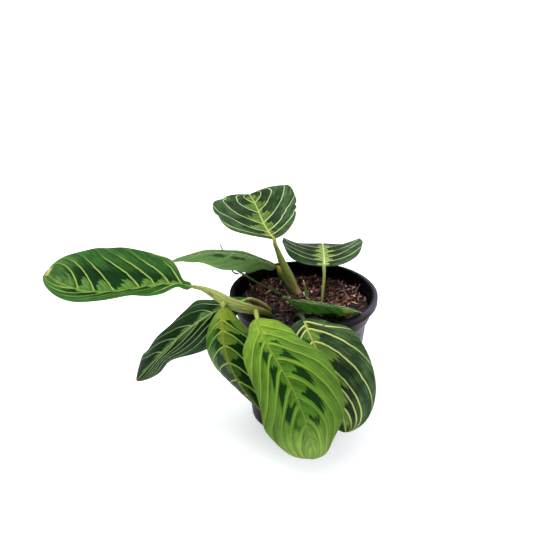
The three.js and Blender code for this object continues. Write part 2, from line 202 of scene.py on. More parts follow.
# Faces of a thin closed sheet: a grid of points, then the same grid below it, and the rim between them
def sheetFaces(rows, columns):
    index = np.arange(rows * columns).reshape(rows, columns)
    quads = np.stack([index[:-1, :-1], index[:-1, 1:], index[1:, 1:], index[1:, :-1]], -1).reshape(-1, 4)
    loop = np.concatenate([index[0, :-1], index[:-1, -1], index[-1, :0:-1], index[:0:-1, 0]])
    following = np.roll(loop, -1)
    below = rows * columns
    rim = np.stack([loop, loop + below, following + below, following], -1)
    return quads, loop, following, np.concatenate([quads, quads[:, ::-1] + below, rim])


# Floor: opal acrylic sheet, lit from below so that its shadows stay faint
boardMaterial, add, _ = newMaterial("acrylic sheet cast, opal and backlit")
board = add("BsdfPrincipled", {}, Base_Color=colourOf(studio["floorColour"]), Roughness=0.9,
            Emission_Color=colourOf(studio["floorColour"]), Emission_Strength=studio["floorGlow"])
add("OutputMaterial", {}, board)
half = studio["floorSize"] / 2 / mm
floorCorners = [(-half, -half, 0), (half, -half, 0), (half, half, 0), (-half, half, 0)]
floor = newObject("floor", floorCorners, [(0, 1, 2, 3)])
floor.data.materials.append(boardMaterial)
print("stage: camera, light and floor")


# Leaf blades, in millimetres, with pairs for the left and the right half. right is the way the right half
# points, at base and tip, and a notch below zero is a bulge. veins are where the side veins start along the
# midrib, and sweep is how far they bend to the tip. zone and patch are how far the pale centre and the dark
# patches reach out, from base to tip. wear is a mark's kind, its place across and along, and its spreads.
# On leaf_rim the pale wear marks are painted highlights and the dark one is painted shade
commonBlade = dict(wave=1, pleat=0.9, notches=[], patch=[[0], [0]], wear=[], under="downy", slot="leaf_dark")
blades = {
    "leaf_top": dict(
        midrib=[(-24, 12, 154), (-32, 42, 154), (-38, 72, 156), (-45, 101, 157.5)],
        right=[(0.97, 0.2, 0.1)] * 2, width=[41, 34.5], widest=[0.5, 0.62], rise=[[10, 8, 9], [-8, 15, 10]],
        curl=[[10, 16, 10], [10, 8, 8]],
        notches=[("left", 0.42, 0.1, 2.5), ("left", 0.86, 0.04, 2), ("right", 0.34, 0.02, 1.5),
                 ("right", 0.41, 0.02, 1.5)],
        veins=[[0.055, 0.16, 0.33, 0.57, 0.78], [0.08, 0.18, 0.36, 0.6, 0.79]], sweep=[1.3, 0.8],
        zone=[[0.2, 0.27, 0.24, 0.2, 0.16], [0.2, 0.27, 0.26, 0.22, 0.16]],
        wear=[("dry", 0.12, 0, 0.03, 0.3), ("dry", 1, 0.12, 0.05, 0.12), ("dry", -1, 0.2, 0.04, 0.03)],
        look="dark",
    ),
    "leaf_back": dict(
        midrib=[(17, 16, 128), (19, 46, 121), (20, 77, 115), (21, 106, 108)], right=[(1, 0, 0)] * 2,
        width=[38, 35.5], widest=[0.52, 0.53], rise=[[-8, 4, -8], [-8, 6, -8]], curl=[[10, 26, 10]] * 2,
        veins=[[0.2, 0.32, 0.52, 0.7], [0.17, 0.32, 0.5, 0.7]], sweep=[-0.3, -0.1],
        zone=[[0.25, 0.24, 0.2, 0.16, 0.1]] * 2, wear=[("dark", -0.97, 0.2, 0.06, 0.1)], look="bright",
    ),
    "leaf_left": dict(
        midrib=[(-88, -26, 130), (-124, -26, 130), (-162, -26, 125), (-203, -21, 139)],
        right=[(0, 0.96, 0.28)] * 2, width=[27.5, 39], widest=[0.52, 0.66], rise=[[10, 34, 0], 26],
        curl=[-5, -10], wave=0.4,
        notches=[("right", 0.07, 0.05, 9), ("right", 0.5, 0.12, -1.5), ("left", 0.11, 0.065, 11),
                 ("left", 0.3, 0.09, -9)],
        veins=[[0.1, 0.22, 0.33, 0.45, 0.58, 0.7, 0.82], [0.07, 0.17, 0.27, 0.38, 0.56, 0.69, 0.8]],
        sweep=[0.5, 0.45], zone=[[0.15, 0.18, 0.18, 0.18, 0.15], [0.12, 0.18, 0.2, 0.26, 0.2]],
        patch=[[0.1, 0.3, 0.45, 0.45, 0.2], [0.15, 0.35, 0.5, 0.55, 0.4]],
        wear=[("dry", 1, 0.13, 0.1, 0.05), ("dark", 1, 0.1, 0.2, 0.03), ("pale", 1, 0.24, 0.05, 0.07),
              ("dry", 0, 1, 0.4, 0.008), ("pale", 0.1, 1, 0.6, 0.022)], look="green",
    ),
    "leaf_mid": dict(
        midrib=[(-21, 10, 130), (-47, 14, 139), (-76, 16, 140), (-107, 14, 133)],
        right=[(0, 0.69, -0.72)] * 2, width=[22, 25], widest=[0.4, 0.4], rise=[-17, -16], curl=[0, 0],
        wave=0.5,
        notches=[("left", 0.12, 0.1, -3), ("right", 0.12, 0.1, 7), ("right", 0.8, 0.12, 6),
                 ("right", 0.93, 0.06, 4)], veins=[[0.11, 0.21, 0.32, 0.45, 0.6, 0.75]] * 2,
        sweep=[0.5, 0.5], zone=[[0.2, 0.2, 0.2, 0.15, 0.1]] * 2,
        wear=[("dark", 0.27, 0.4, 0.1, 0.09), ("dark", 0.2, 0.6, 0.12, 0.1), ("dry", 0, 1, 0.5, 0.02)],
        look="dark",
    ),
    "leaf_low": dict(
        midrib=[(-44, -30, 121), (-75, -40, 112), (-104, -50, 92), (-132.5, -50, 58.5)],
        right=[(-0.5, 0.6, 0.6), (-0.3, 0.6, 0.6)], width=[27, 25], widest=[0.5, 0.5],
        rise=[[-20, -50, -70], [-50, -30, -18]], curl=[-20, -20], wave=0.8,
        notches=[("right", 0.33, 0.08, -8), ("right", 0.62, 0.12, 3), ("right", 0.93, 0.05, -6),
                 ("left", 0.12, 0.1, 8), ("left", 0.52, 0.1, -2), ("left", 0.79, 0.1, 9)],
        veins=[[0.05, 0.11, 0.19, 0.3, 0.42, 0.62], [0.19, 0.3, 0.48, 0.62, 0.75]], sweep=[6, 0.3],
        zone=[[0.1, 0.1, 0.1, 0.1, 0.08], [0.16, 0.18, 0.16, 0.15, 0.1]], wear=[("dry", 0, 1, 0.5, 0.01)],
        look="shaded",
    ),
    "leaf_yellow": dict(
        midrib=[(-63, -48, 124), (-63, -64, 106), (-55, -72, 79), (-32, -68, 40)], right=[(-1, 0, 0)] * 2,
        width=[22, 29], widest=[0.5, 0.55], rise=[-25, -48], curl=[-20, -20],
        notches=[("left", 0.33, 0.17, -6), ("right", 0.72, 0.18, -6)],
        veins=[[0.16, 0.27, 0.42, 0.58, 0.74], [0.15, 0.27, 0.42, 0.57, 0.72, 0.85]], sweep=[0.6, 0],
        zone=[[0.8, 0.45, 0.36, 0.2, 0.1], [0.6, 0.25, 0.2, 0.12, 0.08]],
        patch=[[0, 0.8, 0.9, 0.9, 0.8], [0, 0.35, 0.55, 0.7, 0.7]], look="yellow", pleat=1.2,
        slot="leaf_young",
    ),
    "leaf_front": dict(
        midrib=[(-37, -58, 119), (-27, -82, 105), (-9, -98, 77), (6, -102, 22)],
        right=[(-0.98, 0.2, 0.05), (-1, 0, 0)], width=[34.5, 31], widest=[0.6, 0.7], rise=[0, 0],
        curl=[-8, -20],
        notches=[("left", 0.05, 0.05, -2.5), ("left", 0.36, 0.16, 7.5), ("left", 0.94, 0.07, 6),
                 ("right", 0.13, 0.07, 4), ("right", 0.5, 0.2, 3), ("right", 0.85, 0.1, -4)],
        veins=[[0.08, 0.17, 0.275, 0.41, 0.55, 0.69, 0.82], [0.145, 0.25, 0.36, 0.49, 0.62, 0.74, 0.85]],
        sweep=[0.6, 0.65], zone=[[0.8, 0.28, 0.28, 0.28, 0.25], [0.7, 0.2, 0.2, 0.22, 0.2]],
        patch=[[0, 0.36, 0.48, 0.5, 0], [0, 0.3, 0.41, 0.44, 0]], look="young", pleat=1.4, slot="leaf_young",
    ),
    "leaf_right": dict(
        midrib=[(-2, -55, 117), (8, -76, 101), (22, -84, 70), (31, -82, 32)], right=[(-1, 0, 0)] * 2,
        width=[34, 30], widest=[0.52, 0.5], rise=[4, 0], curl=[[-10, -28, -35], -45],
        notches=[("left", 0.12, 0.08, 3)],
        veins=[[0.04, 0.12, 0.25, 0.47, 0.6, 0.77], [0.08, 0.13, 0.25, 0.4, 0.55, 0.7]], sweep=[1.9, 1],
        zone=[[0.02, 0.3, 0.3, 0.2, 0.15], [0.02, 0.25, 0.2, 0.15, 0.1]],
        wear=[("dry", -0.42, 0.11, 0.06, 0.012), ("dry", -0.62, 0.14, 0.05, 0.012)], look="deep",
    ),
    "leaf_rim": dict(
        midrib=[(-15, -25, 119), (4, -35, 121), (25, -39, 119), (41.5, -36, 112.6)],
        right=[(0, -0.69, 0.72)] * 2, width=[18.5, 18.5], widest=[0.45, 0.45], rise=[-10, -20], curl=[0, 0],
        wave=0.5, notches=[("right", 0.8, 0.12, -3)], veins=[[0.2, 0.4, 0.6, 0.8]] * 2, sweep=[0.5, 0.5],
        zone=[[0.2, 0.2, 0.2, 0.15, 0.1]] * 2,
        # Two pale marks as painted highlights along the midrib and the folded tip, and a dark mark as painted
        # shade on the left half's margin
        wear=[("pale", 0, 0.6, 0.1, 0.08), ("pale", -0.3, 0.86, 0.25, 0.12), ("dark", -0.9, 0.6, 0.2, 0.2)],
        look="dark", under="downyDark", pleat=1.6,
    ),
}
blades = {node: {**commonBlade, **blade} for node, blade in blades.items()}

seatGap = 0.3
waveStart = 1.3
bladeEnd = 1.2
lift = 0.22  # half the blade's thickness
rowCount, sideColumns = 190, 34
closerAtMidrib = 1.4  # power that sets the columns closer together there
tipwards, straightShare = 0.75, 0.35  # how far the columns bend to the tip, and how much of that is straight
pleatMean, pleatFall = 0.4, 0.15  # mean height of a pleat, and where its fall past the vein ends
midribShape = dict(groove=0.35, grooveHalf=0.8, rib=0.25, ribAtBase=0.9, half=0.45, halfAtBase=0.7)


def unit(a):
    return a / np.linalg.norm(a, axis=-1, keepdims=True)


def along(value, u):
    if np.isscalar(value):
        return np.full_like(u, float(value))
    base, middle, tip = value
    return base * (1 - u) * (1 - 2 * u) + middle * 4 * u * (1 - u) + tip * u * (2 * u - 1)


def midribAt(blade, u):
    a, b, c = 3 * u - 1, 3 * u - 2, u - 1
    weights = np.stack([-a * b * c / 2, 9 * u * b * c / 2, -9 * u * a * c / 2, u * a * b / 2], -1)
    return weights @ np.array(blade["midrib"], float)


def wayAt(blade, u):
    return unit(midribAt(blade, u + 0.001) - midribAt(blade, u - 0.001))


def outlineAt(u, widest):
    a, b = 0.95 * widest, 0.95 * (1 - widest)
    most = a / (a + b)
    return u ** a * np.maximum(1 - u, 0) ** b / (most ** a * (1 - most) ** b)


def veinNumber(q, out, veins, sweep):
    step = veins[1] - veins[0]
    places = [0] + veins + [1.02]
    numbers = [max(0.05, 1 - veins[0] / step)] + list(range(1, len(veins) + 1)) + [len(veins) + 0.93]
    return np.interp(q / (1 + sweep * out ** 1.7), places, numbers)


# Height from 0 to 1 of the pleats: each rises to a side vein and falls steeply past it
def pleatHeight(number):
    within = number % 1
    fall = np.clip(within / pleatFall, 0, 1)
    rise = (np.clip(within - pleatFall, 0, 1) / (1 - pleatFall)) ** 1.4
    return np.where(within < pleatFall, 1 - fall ** 2 * (3 - 2 * fall), rise)


def bladeFields(blade):
    t = np.linspace(0, 1, rowCount)
    places = np.linspace(0, 1, sideColumns + 1) ** closerAtMidrib
    rows = 0.4 * t + 0.3 * (1 - np.cos(math.pi * t))  # closer together at base and tip
    q, v = np.meshgrid(rows, np.concatenate([-places[:0:-1], places]), indexing="ij")
    out, isLeft = np.abs(v), v < 0
    u = q + tipwards * (straightShare * out + (1 - straightShare) * out ** 2.2) * q ** 0.6 * (1 - q)
    way = wayAt(blade, u)
    first, final = [np.array(side, float) for side in blade["right"]]
    across = first + (final - first) * u[..., None]
    across = unit(across - (across * way).sum(-1, keepdims=True) * way)
    up = np.cross(across, way)
    rise, curl = [np.radians(np.where(isLeft, along(pair[0], u), along(pair[1], u)))
                  for pair in (blade["rise"], blade["curl"])]
    curl = np.where(np.abs(curl) < 0.001, 0.001, curl)
    share = np.where(isLeft, outlineAt(u, blade["widest"][0]), outlineAt(u, blade["widest"][1]))
    width = np.maximum(np.where(isLeft, *blade["width"]) * share, bladeEnd * (1 - 0.7 * u))
    for side, place, spread, depth in blade["notches"]:
        bay = depth * np.exp(-((u - place) / spread) ** 2)
        width = np.where((side == "left") == isLeft, width - bay, width)
    numbers = [veinNumber(q, out, blade["veins"][k], blade["sweep"][k]) for k in (0, 1)]
    pleats = (pleatHeight(np.where(isLeft, *numbers)) - pleatMean) * np.minimum(out * 7, 1) * (1 - out ** 3)
    outwards = width * (np.sin(rise + curl * out) - np.sin(rise)) / curl
    upwards = width * (np.cos(rise) - np.cos(rise + curl * out)) / curl
    upwards += blade["wave"] * np.sin(6 * math.pi * u + np.where(isLeft, waveStart, 0)) * out ** 2 * share
    upwards += blade["pleat"] * pleats * share
    sideways = np.where(isLeft, -1, 1) * outwards
    sheet = midribAt(blade, u) + across * sideways[..., None] + up * upwards[..., None]

    alongSheet, acrossSheet = np.gradient(sheet, axis=0), np.gradient(sheet, axis=1)
    normal = unit(np.cross(acrossSheet, alongSheet))
    steps = np.linalg.norm(np.diff(sheet, axis=1), axis=-1)
    reach = np.concatenate([np.zeros((rowCount, 1)), np.cumsum(steps, axis=1)], axis=1)
    fromMidrib = np.abs(reach - reach[:, sideColumns:sideColumns + 1])
    fromMargin = np.where(isLeft, fromMidrib[:, :1], fromMidrib[:, -1:]) - fromMidrib
    return q, v, u, sheet, normal, numbers, fromMidrib, fromMargin, alongSheet, acrossSheet


# Millimetres from one side vein to the next, worked out from how steeply the vein number grows over the sheet
def pitchOf(number, alongSheet, acrossSheet):
    a, b = np.gradient(number, axis=0), np.gradient(number, axis=1)
    e = (alongSheet ** 2).sum(-1)
    f = (alongSheet * acrossSheet).sum(-1)
    g = (acrossSheet ** 2).sum(-1)
    steepness = (a * a * g - 2 * a * b * f + b * b * e) / np.maximum(e * g - f * f, 1e-9)
    return np.clip(1 / np.sqrt(np.maximum(steepness, 1e-6)), 1, 40)


def reachAlong(values, q):
    return np.interp(q, np.linspace(0, 1, len(values)), values)


def makeBlade(node, blade, upperMaterial, underMaterial):
    q, v, u, sheet, normal, numbers, fromMidrib, fromMargin, alongSheet, acrossSheet = bladeFields(blade)
    shape = midribShape
    groove = shape["groove"] * np.exp(-(fromMidrib / shape["grooveHalf"]) ** 2)
    ribHalf = shape["half"] + shape["halfAtBase"] * (1 - u)
    rib = (shape["rib"] + shape["ribAtBase"] * (1 - u) ** 0.7) * np.exp(-(fromMidrib / ribHalf) ** 2)
    over = sheet + normal * (lift - groove)[..., None]
    under = sheet - normal * (lift + rib)[..., None]
    quads, loop, following, faces = sheetFaces(*q.shape)
    leftQuad = np.tile(np.arange(q.shape[1] - 1) < sideColumns, rowCount - 1)
    rimLeft = (v.ravel()[loop] + v.ravel()[following]) < 0
    corners = np.concatenate([quads, quads[:, ::-1], np.stack([loop, loop, following, following], -1)])
    isLeft = np.concatenate([leftQuad, leftQuad, rimLeft])[:, None]

    def perCorner(*fields):
        values = []
        for field in fields:
            left, right = field if isinstance(field, list) else (field, field)
            values.append(np.where(isLeft, left.ravel()[corners], right.ravel()[corners]))
        return np.stack(values, -1).reshape(-1, 3)

    wear = {"dry": np.zeros_like(q), "pale": np.zeros_like(q), "dark": np.zeros_like(q)}
    for kind, sideways, lengthwise, spreadV, spreadQ in blade["wear"]:
        mark = np.exp(-((v - sideways) / spreadV) ** 2 - ((u - lengthwise) / spreadQ) ** 2)
        wear[kind] = np.maximum(wear[kind], mark)
    zone, patch = [[reachAlong(values, q) for values in blade[part]] for part in ("zone", "patch")]
    number = 1 + list(blades).index(node)
    fields = {
        "veinPlace": perCorner(v, numbers, [pitchOf(n, alongSheet, acrossSheet) for n in numbers]),
        "bladePlace": perCorner(fromMidrib, fromMargin, q),
        "marking": perCorner(zone, patch, [np.full_like(q, -number), np.full_like(q, number)]),
        "wear": perCorner(wear["dry"], wear["pale"], wear["dark"]),
    }
    points = np.concatenate([over.reshape(-1, 3), under.reshape(-1, 3)])
    faceMaterials = [0] * len(quads) + [1] * len(quads) + [0] * len(loop)
    return newPiece("blade" + node.split("_")[1].capitalize(), points, faces, [upperMaterial, underMaterial],
                    [node], faceMaterials, fields)


# Looks of each kind of blade, above and below. veinWidth is half a side vein's width at midrib and margin, in
# millimetres. veinEnd is where it fades across and how much is left, and veinTip is where it fades along
commonLook = dict(
    patch="#0b220a", margin="#44592f", baseReach=0.1, veinWidth=(0.45, 0.25), patchSoft=0.05,
    patchChance=0.2, patchSpan=(0, 1), veinEnd=(0.75, 1, 0.35), veinTip=(0.85, 0.97), zoneFade=1, tipShare=0,
    tipTint="#84a04c", paleTint="#c3c47c", through=0, roughness=0.5, streaks=0.5, paintedPleatShade=0.12, veinlets=0.6,
    veinHeight=-0.4, darkTint="#14260f", dryTint="#8a5a32",
)
bladeLooks = {
    "dark": dict(
        inner="#0a240a", outer="#2c4c2a", zoneBase="#627d38", zoneTip="#516d2e", vein="#ccd996",
        midrib="#a6b45e", baseTint="#24421e", veinlet="#6f8a5a", margin="#4a6436", streaks=0.7,
        veinEnd=(0.85, 1, 0.6), veinWidth=(0.5, 0.34),
    ),
    "bright": dict(
        inner="#09200a", outer="#2f4f2e", zoneBase="#7f9a4a", zoneTip="#728e42", vein="#dde6b0",
        midrib="#ccd68c", baseTint="#2a4824", veinlet="#6c8759", margin="#46603a", streaks=0.7,
        veinWidth=(0.6, 0.4), veinEnd=(0.85, 1, 0.6),
    ),
    "deep": dict(
        inner="#07200a", outer="#2d4b2a", zoneBase="#5c7a2c", zoneTip="#5a7a35", vein="#ccd97e",
        midrib="#a3a34a", baseTint="#16300f", veinlet="#7b9560", margin="#6a8258", streaks=0.6,
        veinWidth=(0.6, 0.4),
    ),
    "shaded": dict(
        inner="#08210a", outer="#22441f", zoneBase="#55743a", zoneTip="#3a5a2e", vein="#94a970",
        midrib="#86a05e", baseTint="#2f5228", veinlet="#49663e", veinWidth=(0.35, 0.22),
    ),
    "green": dict(
        inner="#103a0d", outer="#2c5a20", patch="#032c06", patchSoft=0.035, roughness=0.6,
        zoneBase="#5f8636", zoneTip="#4d7636", vein="#aac25a", midrib="#84a048", baseTint="#285a1c",
        veinlet="#4c7838", veinWidth=(0.5, 0.3), paintedPleatShade=0.2, patchChance=0.12, veinEnd=(0.55, 0.9, 0.1),
        tipShare=0.5, tipTint="#567f40",
    ),
    "young": dict(
        inner="#4f7820", outer="#4e6e26", patch="#0c2f07", zoneBase="#7d9a2a", zoneTip="#46701c",
        vein="#8ba639", midrib="#748630", margin="#738f3c", baseTint="#6c8f28", baseReach=0.24,
        patchSoft=0.012, patchChance=0.07, patchSpan=(0.16, 0.8), zoneFade=0.36, tipShare=0.7,
        veinWidth=(0.58, 0.35), veinTip=(0.4, 0.8), streaks=0.36, paintedPleatShade=0.22, veinlet="#7d963a",
        veinlets=0.25,
    ),
    "yellow": dict(
        inner="#2b5616", outer="#40642a", patch="#0a2607", zoneBase="#768d2c", zoneTip="#34541a",
        vein="#93a946", midrib="#7a7c2c", margin="#5c7530", baseTint="#6c8828", baseReach=0.22,
        patchSoft=0.03, zoneFade=0.7, streaks=0.3, paintedPleatShade=0.2, veinlet="#67843a", veinlets=0.4,
    ),
    "downy": dict(
        inner="#74a054", outer="#80aa60", patch="#4a6c3a", zoneBase="#8fae70", zoneTip="#84a46a",
        vein="#bcd694", midrib="#c0d694", margin="#90a878", baseTint="#7b9c66", veinWidth=(0.4, 0.25),
        patchSoft=0.1, roughness=0.6, streaks=0.2, paintedPleatShade=0.08, veinlet="#8fab78", veinlets=0.3,
        veinHeight=0.8,
    ),
    # Underside of leaf_rim: downy's colours made lighter as painted light for its shaded place, with
    # near-white margin, midrib and pale tint as painted highlights
    "downyDark": dict(
        inner="#94c46c", outer="#a0cc7a", patch="#5a7a44", zoneBase="#96ba6e", zoneTip="#a2be7c",
        vein="#e0ecb0", midrib="#f2f5e0", margin="#e8eeda", baseTint="#7ca45a", veinWidth=(0.6, 0.4),
        paleTint="#eef2cc", through=0.6, patchSoft=0.1, roughness=0.6, streaks=0.35, paintedPleatShade=0.2,
        veinlet="#8fab70", veinlets=0.4, veinHeight=0.8,
    ),
}
bladeLooks = {kind: {**commonLook, **look} for kind, look in bladeLooks.items()}

# Stripes and veinlets for each side vein, the pale centre's reach from one vein to the next, and spots in mm
leafPattern = dict(
    stripes=5, veinlets=10, drift=7.143, mottle=9.091, ragged=1.667,
    profile=[(0, 0.75), (0.16, 1.2), (0.4, 1), (0.6, 0.7), (0.78, 0.38), (0.93, 0.28), (1, 0.75)],
)


# Living leaf, waxy above and downy below: silky, with sunk paler veins and stripes that follow them
def bladeMaterial(kind, look):
    material, add, objectPlace = newMaterial(f"leaf skin grown, {kind}")
    tint = {part: colourOf(value) for part, value in look.items() if isinstance(value, str)}
    place, extent, marking, wear = readFields(add, "veinPlace", "bladePlace", "marking", "wear")
    lengthwise = (extent, "Z")
    out = add("Math", {"operation": "ABSOLUTE"}, (place, "X"))
    drift = add("TexNoise", {}, Vector=objectPlace, Scale=scaleOf(leafPattern["drift"]), Detail=1)
    number = add("Math", plus, (place, "Y"), offsetBy(add, drift, 0.12))
    share = add("Math", {"operation": "FRACT"}, number)

    # Side veins, in millimetres from the nearest one
    fromVein = add("Math", times, add("Math", {"operation": "PINGPONG"}, number, 0.5), (place, "Z"))
    veinHalf = add("MapRange", {}, out, 0, 1, *look["veinWidth"])
    veinEdges = [add("Math", times, veinHalf, edge) for edge in (1.5, 0.5)]
    vein = add("MapRange", smooth, fromVein, *veinEdges)
    fadeFrom, fadeTo, faded = look["veinEnd"]
    vein = keptBy(add, vein, out, fadeFrom, fadeTo, 1, faded)
    tipFrom, tipTo = look["veinTip"]
    vein = keptBy(add, vein, lengthwise, tipTo, tipFrom, 0.3, 1)

    # Stripes along the veins, each with its own reach and a slanted end
    stripes = add("Math", times, number, leafPattern["stripes"])
    stripe = add("CombineXYZ", {}, add("Math", {"operation": "FLOOR"}, stripes), (marking, "Z"))
    chance = add("SeparateXYZ", {}, (add("TexWhiteNoise", {"noise_dimensions": "3D"}, stripe), "Color"))
    slant = offsetBy(add, add("Math", {"operation": "FRACT"}, stripes), 0.06)
    profile = add("ValToRGB", {"stops": [(p, (c, c, c, 1)) for p, c in leafPattern["profile"]]}, share)

    def withinReach(reach, lot, spread, soft):
        reach = add("Math", plus, reach, offsetBy(add, (chance, lot), spread))
        reach = add("Math", plus, reach, slant)
        return add("MapRange", smooth, out, add("Math", plus, reach, soft), add("Math", less, reach, soft))

    zone = withinReach(add("Math", times, (marking, "X"), profile), "X", 0.09, 0.01)
    patch = withinReach((marking, "Y"), "Y", look["patchChance"], look["patchSoft"])
    patch = keptBy(add, patch, fromVein, 0.3, 1.1)
    for end, inwards in zip(look["patchSpan"], (0.04, -0.04)):
        patch = keptBy(add, patch, share, end - inwards, end + inwards)

    # Fine streaks along the veins, soft mottling, and painted shade on each pleat: darker just past its vein,
    # lighter up to the next
    acrossStreaks, alongStreaks = add("Math", times, number, 8), add("Math", times, out, 4)
    streakPlace = add("CombineXYZ", {}, alongStreaks, acrossStreaks, (marking, "Z"))
    streak = add("TexNoise", {}, Vector=streakPlace, Scale=1, Detail=3, Roughness=0.6)
    mottle = add("TexNoise", {}, Vector=objectPlace, Scale=scaleOf(leafPattern["mottle"]), Detail=2)
    shade = add("MapRange", {}, streak, 0.3, 0.7, 1 - look["streaks"], 1 + look["streaks"])
    shade = add("Math", plus, shade, add("MapRange", {}, mottle, 0.3, 0.7, -0.1, 0.1))
    shade = add("Math", plus, shade, add("MapRange", {}, share, 0.05, 0.95, -look["paintedPleatShade"], look["paintedPleatShade"]))
    between = add("Math", {"operation": "PINGPONG"}, add("Math", times, number, leafPattern["veinlets"]), 0.5)
    veinlet = add("MapRange", smooth, between, 0.28, 0.05)
    for source, *span in ((mottle, 0.35, 0.65, 0.3 * look["veinlets"], look["veinlets"]),
                          (out, 0.15, 0.6, 0.3, 1), (patch, 0, 1, 1, 0.15)):
        veinlet = keptBy(add, veinlet, source, *span, curve={})

    centre = add("MapRange", {}, lengthwise, 0, look["zoneFade"])
    centre = add("Mix", blended, centre, tint["zoneBase"], tint["zoneTip"])
    outer = add("MapRange", {}, add("Math", plus, out, offsetBy(add, (chance, "Z"), 0.25)), 0.4, 1.05)
    atBase = add("MapRange", smooth, lengthwise, look["baseReach"], 0)
    atTip = add("MapRange", smooth, lengthwise, 0.78, 0.98, 0, look["tipShare"])
    colour = tint["inner"]
    for amount, layer in ((outer, tint["outer"]), (atBase, tint["baseTint"]), (patch, tint["patch"]),
                          (veinlet, tint["veinlet"]), (zone, centre), (atTip, tint["tipTint"])):
        colour = add("Mix", blended, amount, colour, layer)
    colour = add("HueSaturation", {}, Value=shade, Color=colour)
    ribHalf = add("MapRange", {}, lengthwise, 0, 1, 0.8, 0.3)
    ribEdges = [add("Math", times, ribHalf, edge) for edge in (1.4, 0.6)]
    midrib = add("MapRange", smooth, (extent, "X"), *ribEdges)
    margin = add("MapRange", smooth, (extent, "Y"), 0.7, 0.2, 0, 0.6)
    for amount, layer in ((add("Math", times, vein, 0.85), "vein"), (midrib, "midrib"), (margin, "margin")):
        colour = add("Mix", blended, amount, colour, tint[layer])

    # Marks of age: darkened, yellowed and dry brown places, and on leaf_rim a painted highlight and painted
    # shade
    ragged = add("TexNoise", {}, Vector=objectPlace, Scale=scaleOf(leafPattern["ragged"]), Detail=2)
    marks = (("Z", look["darkTint"], 0.8), ("Y", look["paleTint"], 0.9), ("X", look["dryTint"], 0.95))
    colour = withMarks(add, colour, wear, offsetBy(add, ragged, 0.5), (0.35, 0.7), marks)

    height = add("Math", plus, add("Math", times, streak, 0.35), add("Math", times, vein, look["veinHeight"]))
    rough = add("MapRange", {}, mottle, 0.3, 0.7, look["roughness"] - 0.05, look["roughness"] + 0.08)
    finishSurface(add, colour, rough, height, 0.4, 0.6, IOR=1.45, Specular_IOR_Level=0.08,
                  Subsurface_Weight=look["through"], Subsurface_Scale=1 * mm,
                  Subsurface_Radius=(0.85, 1, 0.62))
    return material


leafSkins = {kind: bladeMaterial(kind, look) for kind, look in bladeLooks.items()}
for node, blade in blades.items():
    makeBlade(node, blade, leafSkins[blade["look"]], leafSkins[blade["under"]])
print("stage: leaf blades")


